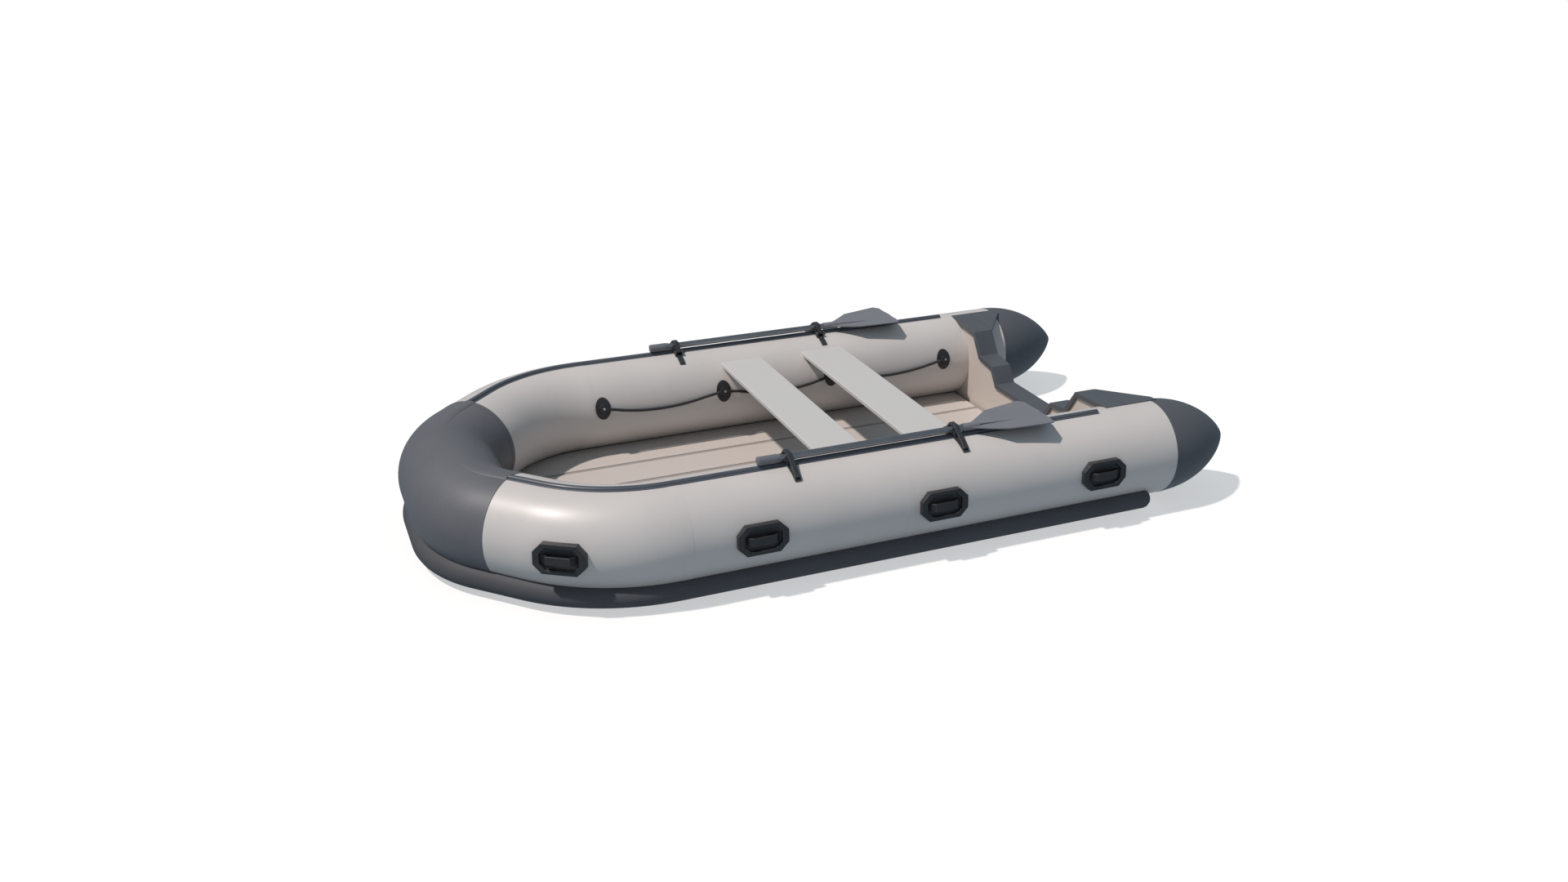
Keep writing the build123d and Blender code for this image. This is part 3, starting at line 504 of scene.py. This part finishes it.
# ---------------------------------------------------------------- Rub strakes
# A fat foam-filled rubber fender is glued low on the outside of each tube and right round the
# bow, where it is fullest. Two shallow grooves run along it.
fender = Finish("fender_rubber", Specular_IOR_Level=0.38)
fender_place = fender.place()
fender_cloud = fender.noise(fender_place, 5.0, 4.0, 0.6)
fender_grain = fender.noise(fender_place, 700.0, 2.0, 0.6)
fender_scrape = fender.noise(fender.stretched(fender_place, (3.0, 9.0, 60.0)), 4.0, 4.0, 0.7)
fender_worn = fender.ramp(fender_scrape, 0.58, 0.70)
fender_colour = fender.blend(fender_cloud, (0.058, 0.059, 0.067), (0.080, 0.081, 0.090))
fender_colour = fender.blend(0.35 * fender_worn, fender_colour, (0.16, 0.165, 0.175))
fender_gloss = 0.60 + 0.12 * fender_cloud + 0.15 * fender_worn
fender_bumps = [(fender_grain, 0.00012, 0.5), (fender_scrape, 0.0006, 0.2)]
fender_material = fender.finish(fender_colour, fender_gloss, fender_bumps)
strake_out = 0.160
strake_down = -0.169
strake_radius = 0.044
wrap = radians(58.1)
to_tube = atan2(-strake_down, -strake_out)
strake_start = seam_x + 0.140


def strake_section(radius, count=48):
    """The fender's round outline from one edge of its glued back to the other, with its grooves."""
    points = []
    for i in range(count + 1):
        angle = to_tube + wrap + (2 * pi - 2 * wrap) * i / count
        groove = 0.0022 if i in (18, 19, 27, 28) else 0.0
        reach = radius - groove
        points.append((strake_out + reach * cos(angle), strake_down + reach * sin(angle)))
    return points


for side, sign in (("port", 1), ("starboard", -1)):
    strake = cut_cloth()
    strake_ring = ring_at(strake, strake_section(strake_radius), strake_start, tube_y)
    carry(strake, strake_ring, [(24, shoulder_centre.x - 0.0003 - strake_start)])
    close_up(strake)
    ends = [f for f in strake.faces if len(f.verts) > 8]
    end = next(f for f in ends if f.calc_center_median().x < strake_start + 0.001)
    shrunk = [(0.013, 0.93), (0.013, 0.80), (0.009, 0.62), (0.006, 0.40)]
    for back, share in shrunk:
        end = bmesh.ops.extrude_discrete_faces(strake, faces=[end])["faces"][0]
        centre = Vector((0, tube_y + strake_out, tube_z + strake_down))
        bmesh.ops.translate(strake, verts=end.verts, vec=(-back, 0, 0))
        about = Matrix.Translation(-centre)
        bmesh.ops.scale(strake, vec=(1, share, share), space=about, verts=end.verts)
    if sign < 0:
        bmesh.ops.scale(strake, vec=across, verts=strake.verts)
    bmesh.ops.recalc_face_normals(strake, faces=strake.faces)
    shown(
        strake, f"{side}_fender", "hull", fender_material, "strake_fender", f"{side}_rub_strake",
        smooth=50.0,
    )

bow_strake = cut_cloth()
bow_strake_ring = ring_at(bow_strake, strake_section(strake_radius), shoulder_centre.x, tube_y)
bow_strake_legs = [
    (24, *shoulder), (4, diagonal), (24, *bow_corner), (6, bow_front),
    (24, *far_corner), (4, diagonal), (24, *far_shoulder),
]
fullest = 0.30
rings = carry(bow_strake, bow_strake_ring, bow_strake_legs)
for i, ring in enumerate(rings):
    swell = 1.0 + fullest * sin(pi * i / (len(rings) - 1)) ** 1.5
    middle = sum((v.co for v in ring), Vector()) / len(ring)
    about = Matrix.Translation(-middle)
    bmesh.ops.scale(bow_strake, vec=(swell, swell, swell), space=about, verts=list(ring))
close_up(bow_strake)
shown(bow_strake, "bow_fender", "hull", fender_material, "strake_fender", "bow_rub_strake", smooth=50.0)

# ---------------------------------------------------------------- Bottom and air keel
# The bottom is a flat sheet of the dark cloth glued under the tubes. The air keel inside it
# is pressed flat where the boat stands.
bottom_cloth = coated_cloth(
    "dark_bottom_cloth", (0.100, 0.108, 0.126), (0.075, 0.082, 0.098), 0.52, 0.00016, 0.8, mapped=False,
    Specular_IOR_Level=0.4,
)


def dress(material, *nodes):
    """Gives CAD pieces, whose shape stays, their material."""
    for node in nodes:
        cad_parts[node].data.materials.clear()
        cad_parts[node].data.materials.append(material)


def eased(name, body, material, slot, node, radius, steps=2, bend=32.0, tidy=1.0, reshape=None):
    """A hard piece with its edges eased, as moulding or sandpaper leaves them."""
    bm = bmesh.new()
    bm.from_mesh(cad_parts[node].data)
    bmesh.ops.remove_doubles(bm, verts=bm.verts, dist=0.00002)
    if reshape:
        reshape(bm)
    bmesh.ops.dissolve_limit(bm, angle_limit=radians(tidy), verts=bm.verts, edges=bm.edges)
    bm.normal_update()
    corners = [e for e in bm.edges if e.is_manifold and e.calc_face_angle(0.0) > radians(bend)]
    bmesh.ops.bevel(
        bm, geom=corners, offset=radius, offset_type="OFFSET", segments=steps, profile=0.5,
        affect="EDGES", clamp_overlap=True, material=-1,
    )
    bmesh.ops.remove_doubles(bm, verts=bm.verts, dist=0.00001)
    return shown(bm, name, body, material, slot, node, smooth=35.0, weighted=True)


dress(bottom_cloth, "hull_bottom", "chamber_bulkheads")
eased("air_keel", "hull", bottom_cloth, "dark_fabric", "keel_tube", 0.008, steps=4, bend=20.0)

# ---------------------------------------------------------------- Floor
# Five plywood boards painted cream lie on six battens. Channel strips between them hold
# them edge to edge and show as narrow grooves. The strips are given a darker copy of the
# cream paint: painted shade in the grooves.


def painted_board(name, paint_colour, worn_colour, grain, roughness, wear):
    """Paint on plywood: the veneer's grain just shows in relief, and feet have dulled and marked it."""
    board = Finish(name, Specular_IOR_Level=0.45)
    place = board.place()
    long_grain = board.noise(board.stretched(place, grain), 5.0, 6.0, 0.6)
    fine = board.noise(place, 500.0, 2.0, 0.6)
    cloud = board.noise(place, 4.0, 4.0, 0.6)
    marks = board.noise(board.stretched(place, (3.0, 5.0, 3.0)), 6.0, 6.0, 0.72)
    worn = board.ramp(marks, 0.56, 0.74)
    colour = board.blend(wear * worn, paint_colour, worn_colour)
    colour = board.blend(0.10 * cloud, colour, worn_colour)
    gloss = roughness + 0.14 * cloud + 0.12 * worn
    return board.finish(colour, gloss, [(long_grain, 0.0006, 0.35), (fine, 0.00015, 0.5)])


floor_paint = painted_board(
    "cream_floor_paint", (0.565, 0.515, 0.480), (0.40, 0.355, 0.315), (1.5, 22.0, 22.0), 0.42, 0.30,
)
# A darker copy of the cream floor paint for the channel strips: painted shade in the grooves.
groove_painted_shade = painted_board(
    "joiner_strip_painted_shade", (0.34, 0.31, 0.285), (0.24, 0.21, 0.19), (1.0, 8.0, 8.0), 0.5, 0.4,
)
batten_wood = painted_board(
    "batten_wood", (0.36, 0.26, 0.17), (0.24, 0.17, 0.11), (22.0, 1.5, 22.0), 0.6, 0.4,
)
dress(groove_painted_shade, "floor_joiners")
dress(batten_wood, "floor_battens")
boards = ["centre_floor_board"]
boards += [f"{side}_{row}_floor_board" for side in ("port", "starboard") for row in ("inner", "outer")]
for board in boards:
    eased(f"{board}_painted", "hull", floor_paint, "floor_wood", board, 0.0022)

# ---------------------------------------------------------------- Transom
# A thick plywood board painted cream, cut away in the middle for the motor, carries a moulded
# dark cap along its top edge. Two plates of the same plastic run from the cap to the stern cones.
transom_paint = painted_board(
    "cream_transom_paint", (0.62, 0.555, 0.505), (0.43, 0.37, 0.32), (14.0, 1.5, 22.0), 0.40, 0.22,
)
cap_plastic = Finish("dark_moulded_cap", Specular_IOR_Level=0.5)
cap_place = cap_plastic.place()
cap_cloud = cap_plastic.noise(cap_place, 6.0, 4.0, 0.6)
cap_grain = cap_plastic.noise(cap_place, 650.0, 3.0, 0.7)
cap_scratch = cap_plastic.noise(cap_plastic.stretched(cap_place, (40.0, 3.0, 8.0)), 6.0, 5.0, 0.7)
cap_marks = cap_plastic.ramp(cap_scratch, 0.60, 0.72)
cap_colour = cap_plastic.blend(cap_cloud, (0.070, 0.078, 0.090), (0.090, 0.099, 0.113))
cap_colour = cap_plastic.blend(0.35 * cap_marks, cap_colour, (0.20, 0.21, 0.22))
cap_gloss = 0.42 + 0.10 * cap_cloud + 0.12 * cap_marks
cap_bumps = [(cap_grain, 0.0002, 0.6), (cap_scratch, 0.0003, 0.15)]
cap_material = cap_plastic.finish(cap_colour, cap_gloss, cap_bumps)
eased("transom_painted", "hull", transom_paint, "transom_wood", "transom_board", 0.0025)
in_cap_plastic = ("hull", cap_material, "cap_plastic")
eased("transom_cap_moulding", *in_cap_plastic, "transom_cap", 0.0035, steps=3, bend=15.0)
eased("motor_pad_moulding", *in_cap_plastic, "motor_pad", 0.003, steps=3)
for side in ("port", "starboard"):
    eased(f"{side}_deck_plate_moulding", *in_cap_plastic, f"{side}_deck_plate", 0.003, steps=3)
eased("transom_holder_flanges", "hull", strip_material, "strip_rubber", "transom_holders", 0.0015)

# ---------------------------------------------------------------- Valves and drain
# Each air chamber has a screwed plastic valve with a quarter-turn cap, out of the way of feet
# and gear. A drain with a plug of the same plastic goes through the foot of the transom.
valve_plastic = Finish("black_valve_plastic", Specular_IOR_Level=0.5)
valve_place = valve_plastic.place()
valve_cloud = valve_plastic.noise(valve_place, 60.0, 4.0, 0.6)
valve_grain = valve_plastic.noise(valve_place, 1400.0, 2.0, 0.6)
valve_colour = valve_plastic.blend(valve_cloud, (0.030, 0.033, 0.038), (0.058, 0.062, 0.070))
valve_gloss = 0.32 + 0.2 * valve_cloud
valve_material = valve_plastic.finish(valve_colour, valve_gloss, [(valve_grain, 0.0001, 0.6)])
turned_pieces = [
    ("port_valve", "hull", 0.0010), ("starboard_valve", "hull", 0.0010), ("bow_valve", "hull", 0.0010),
    ("drain_socket", "hull", 0.0008),
]
turned_caps = ("port_valve_cap", "starboard_valve_cap", "bow_valve_cap", "drain_plug")
turned_pieces += [(cap, f"{cap}_body", 0.0016) for cap in turned_caps]
for name, body, radius in turned_pieces:
    eased(f"{name}_turned", body, valve_material, "valve_plastic", name, radius)

# ---------------------------------------------------------------- Benches
# Two plank seats painted light grey lie across the boat, their ends cut to the curve of the tubes.
# Each end sits on a soft rubber rest glued to the tube.
bench_paint = painted_board(
    "grey_bench_paint", (0.565, 0.562, 0.550), (0.43, 0.42, 0.40), (18.0, 1.2, 18.0), 0.40, 0.20,
)
dress(bench_paint, "front_bench", "rear_bench")
eased("bench_rest_pads", "hull", strip_material, "strip_rubber", "bench_rests", 0.003)

# ---------------------------------------------------------------- Carry handles
# Eight moulded rubber handles are glued to the outside of the tubes, three along each side
# and one on each shoulder. Each is a raised frame round a recess, with a grip that bridges it.
black_rubber = Finish("black_rubber", Specular_IOR_Level=0.5, Coat_Weight=0.10, Coat_Roughness=0.35)
rubber_place = black_rubber.place()
rubber_cloud = black_rubber.noise(rubber_place, 22.0, 4.0, 0.6)
rubber_grain = black_rubber.noise(rubber_place, 800.0, 2.0, 0.65)
rubber_dust = black_rubber.noise(black_rubber.stretched(rubber_place, (1.0, 1.0, 1.6)), 55.0, 5.0, 0.7)
rubber_dusty = black_rubber.ramp(rubber_dust, 0.52, 0.80)
rubber_colour = black_rubber.blend(rubber_cloud, (0.014, 0.014, 0.016), (0.027, 0.027, 0.030))
rubber_colour = black_rubber.blend(0.30 * rubber_dusty, rubber_colour, (0.075, 0.072, 0.068))
rubber_gloss = 0.36 + 0.14 * rubber_cloud + 0.25 * rubber_dusty
rubber_material = black_rubber.finish(rubber_colour, rubber_gloss, [(rubber_grain, 0.00018, 0.6)])
handle_tilt = radians(5.0)
handle_spots = [(seam_x + share * side_length, tube_y, 0.0) for share in (0.861, 0.513, 0.174)]
shoulder_turn = radians(32.6)
shoulder_spot = shoulder_centre + Vector((sin(shoulder_turn), cos(shoulder_turn), 0)) * shoulder_radius
handle_spots.append((*shoulder_spot.xy, shoulder_turn))


def moulded_recess(bm):
    """Opens each handle's recess to its eight-sided mouth and gives the grip its full height."""
    for x, y, swing in handle_spots:
        forward = Vector((cos(swing), -sin(swing), 0))
        level = Vector((sin(swing), cos(swing), 0))
        out = level * cos(handle_tilt) + Vector((0, 0, sin(handle_tilt)))
        up = forward.cross(out)
        middle = Vector((x, y, tube_z)) + out * tube_radius
        for vert in bm.verts:
            spoke = vert.co * across if vert.co.y < 0 else vert.co.copy()
            spoke -= middle
            along, high = spoke.dot(forward), spoke.dot(up)
            if spoke.length > 0.095 or abs(spoke.dot(out)) > 0.045:
                continue
            wide, tall = 0.0, 0.0
            if abs(abs(high) - 0.013) < 0.0006:
                tall = 0.0035
            elif abs(abs(high) - 0.037) < 0.0006 and abs(abs(along) - 0.057) < 0.0006:
                wide, tall = -0.004, 0.008
            elif abs(abs(high) - 0.019) < 0.0006 and abs(abs(along) - 0.075) < 0.0006:
                wide = 0.004
            move = forward * wide * (1 if along > 0 else -1) + up * tall * (1 if high > 0 else -1)
            vert.co += move * across if vert.co.y < 0 else move


for side in ("port", "starboard"):
    eased(
        f"{side}_carry_handles", "hull", rubber_material, "handle_rubber", f"{side}_handles", 0.0048,
        steps=4, bend=25.0, reshape=moulded_recess,
    )

# ---------------------------------------------------------------- Rope patches
# Oval rubber patches glued inside the tubes hold the grab ropes, each with a boss for the
# rope and a steel rivet through it.
bright_steel = Finish("bright_steel", Metallic=1.0)
steel_place = bright_steel.place()
steel_cloud = bright_steel.noise(steel_place, 90.0, 4.0, 0.6)
steel_lines = bright_steel.noise(bright_steel.stretched(steel_place, (60.0, 4.0, 60.0)), 40.0, 3.0, 0.6)
steel_colour = bright_steel.blend(steel_cloud, (0.50, 0.50, 0.51), (0.66, 0.66, 0.67))
steel_gloss = 0.22 + 0.2 * steel_cloud
steel_material = bright_steel.finish(steel_colour, steel_gloss, [(steel_lines, 0.00005, 0.4)])
for side in ("port", "starboard"):
    patches = f"{side}_rope_patches"
    eased(f"{side}_rope_bosses", "hull", rubber_material, "handle_rubber", patches, 0.0014)
eased("rope_rivets", "hull", steel_material, "bright_steel", "rope_eyes", 0.0009)

# ---------------------------------------------------------------- Oars
# Each oar is a black anodised aluminium tube with a moulded grip at one end and a cupped
# grey plastic blade at the other. It lies along the top of the tube in two clips.
anodised = Finish("black_anodised_tube", Metallic=0.85, Coat_Weight=0.35, Coat_Roughness=0.12)
shaft_place = anodised.place()
shaft_draw = anodised.noise(anodised.stretched(shaft_place, (1.5, 160.0, 160.0)), 6.0, 3.0, 0.6)
shaft_cloud = anodised.noise(shaft_place, 12.0, 4.0, 0.6)
shaft_colour = anodised.blend(shaft_cloud, (0.20, 0.205, 0.22), (0.32, 0.325, 0.34))
shaft_gloss = 0.20 + 0.14 * shaft_draw + 0.06 * shaft_cloud
shaft_material = anodised.finish(shaft_colour, shaft_gloss, [(shaft_draw, 0.00005, 0.4)])


def moulded_plastic(name, low, high, roughness, scale):
    plastic = Finish(name, Specular_IOR_Level=0.5, Coat_Weight=0.08, Coat_Roughness=0.25)
    place = plastic.place()
    cloud = plastic.noise(place, scale, 4.0, 0.6)
    grain = plastic.noise(place, 750.0, 2.0, 0.6)
    rubs = plastic.noise(plastic.stretched(place, (2.0, 9.0, 9.0)), 10.0, 6.0, 0.72)
    rubbed = plastic.ramp(rubs, 0.56, 0.74)
    colour = plastic.blend(0.4 * rubbed, plastic.blend(cloud, low, high), [1.45 * part for part in high])
    return plastic.finish(colour, roughness + 0.12 * cloud + 0.14 * rubbed, [(grain, 0.00014, 0.6)])


blade_material = moulded_plastic(
    "grey_blade_plastic", (0.165, 0.170, 0.188), (0.195, 0.200, 0.220), 0.36, 9.0,
)
grip_material = moulded_plastic(
    "grey_grip_plastic", (0.120, 0.128, 0.148), (0.155, 0.165, 0.188), 0.40, 30.0,
)
clip_material = moulded_plastic(
    "black_clip_plastic", (0.022, 0.025, 0.028), (0.034, 0.037, 0.041), 0.34, 40.0,
)
for side in ("port", "starboard"):
    oar = f"{side}_oar"
    dress(shaft_material, f"{oar}_shaft")
    eased(f"{oar}_blade_cupped", oar, blade_material, "blade_plastic", f"{oar}_blade", 0.0020)
    eased(f"{oar}_grip_moulded", oar, grip_material, "grip_plastic", f"{oar}_grip", 0.0015)

# ---------------------------------------------------------------- Oar clips
# Four black plastic clips stand on the tubes: a foot glued over the top strip with two cheeks
# round the shaft, and a keeper hinged on a steel pin that swings over it and snaps down outboard.
dress(steel_material, "clip_pins")
for side in ("port", "starboard"):
    eased(f"{side}_clip_feet", "hull", clip_material, "clip_plastic", f"{side}_clip_bases", 0.0014)
    for place in ("front", "rear"):
        keeper = f"{side}_{place}_keeper"
        eased(f"{keeper}_strap", f"{keeper}_body", clip_material, "clip_plastic", keeper, 0.0016)

# ---------------------------------------------------------------- Floor and light
# The boat stands on a pale floor in front of a pale backdrop. A warm lamp high over the bow
# gives the shadows their edges. An even cool light fills them, a soft one rises off the floor,
# and a wide one stands off the port side.
ground = bmesh.new()
bmesh.ops.create_grid(ground, x_segments=1, y_segments=1, size=90.0)
floor_mesh = bpy.data.meshes.new("studio_floor")
ground.to_mesh(floor_mesh)
ground.free()
pale = Finish(
    "studio_floor", Base_Color=(0.52, 0.52, 0.52, 1.0), Roughness=1.0, Specular_IOR_Level=0.0,
    Emission_Color=(1.0, 1.0, 1.0, 1.0), Emission_Strength=0.50,
)
floor_mesh.materials.append(pale.material)
studio_floor = bpy.data.objects.new("studio_floor", floor_mesh)
bpy.context.scene.collection.objects.link(studio_floor)
studio_floor.visible_diffuse = False
studio_floor.visible_glossy = False
studio_floor.visible_shadow = False

wall = bmesh.new()
bmesh.ops.create_uvsphere(wall, u_segments=48, v_segments=24, radius=85.0)
bmesh.ops.reverse_faces(wall, faces=wall.faces)
wall_mesh = bpy.data.meshes.new("studio_backdrop")
wall.to_mesh(wall_mesh)
wall.free()
white = (1.0, 1.0, 1.0, 1.0)
black = (0.0, 0.0, 0.0, 1.0)
wall_paint = Finish("studio_backdrop", Base_Color=black, Emission_Color=white, Emission_Strength=1.0)
wall_mesh.materials.append(wall_paint.material)
backdrop = bpy.data.objects.new("studio_backdrop", wall_mesh)
bpy.context.scene.collection.objects.link(backdrop)
for ray in ("diffuse", "glossy", "transmission", "volume_scatter", "shadow"):
    setattr(backdrop, f"visible_{ray}", False)

lamps = [
    ("high_lamp", 2.98, 2.5, (1.0, 0.915, 0.862), (-0.48, 0.03, -0.87)),
    ("floor_bounce", 0.30, 120.0, (1.0, 0.965, 0.95), (0.0, 0.0, 1.0)),
    ("port_fill", 0.40, 70.0, (1.0, 0.97, 0.97), (-0.25, -0.95, -0.10)),
]
for name, strength, spread, colour, travel in lamps:
    lamp = bpy.data.lights.new(name, "SUN")
    lamp.energy = strength
    lamp.angle = radians(spread)
    lamp.color = colour
    stand = bpy.data.objects.new(name, lamp)
    bpy.context.scene.collection.objects.link(stand)
    stand.rotation_mode = "QUATERNION"
    stand.rotation_quaternion = Vector(travel).to_track_quat("-Z", "Y")
sky = bpy.data.worlds.new("even_light")
bpy.context.scene.world = sky
sky.use_nodes = True
sky.node_tree.nodes["Background"].inputs["Color"].default_value = (0.62, 0.82, 1.0, 1.0)
sky.node_tree.nodes["Background"].inputs["Strength"].default_value = 0.29
bpy.context.scene.view_settings.view_transform = "Standard"
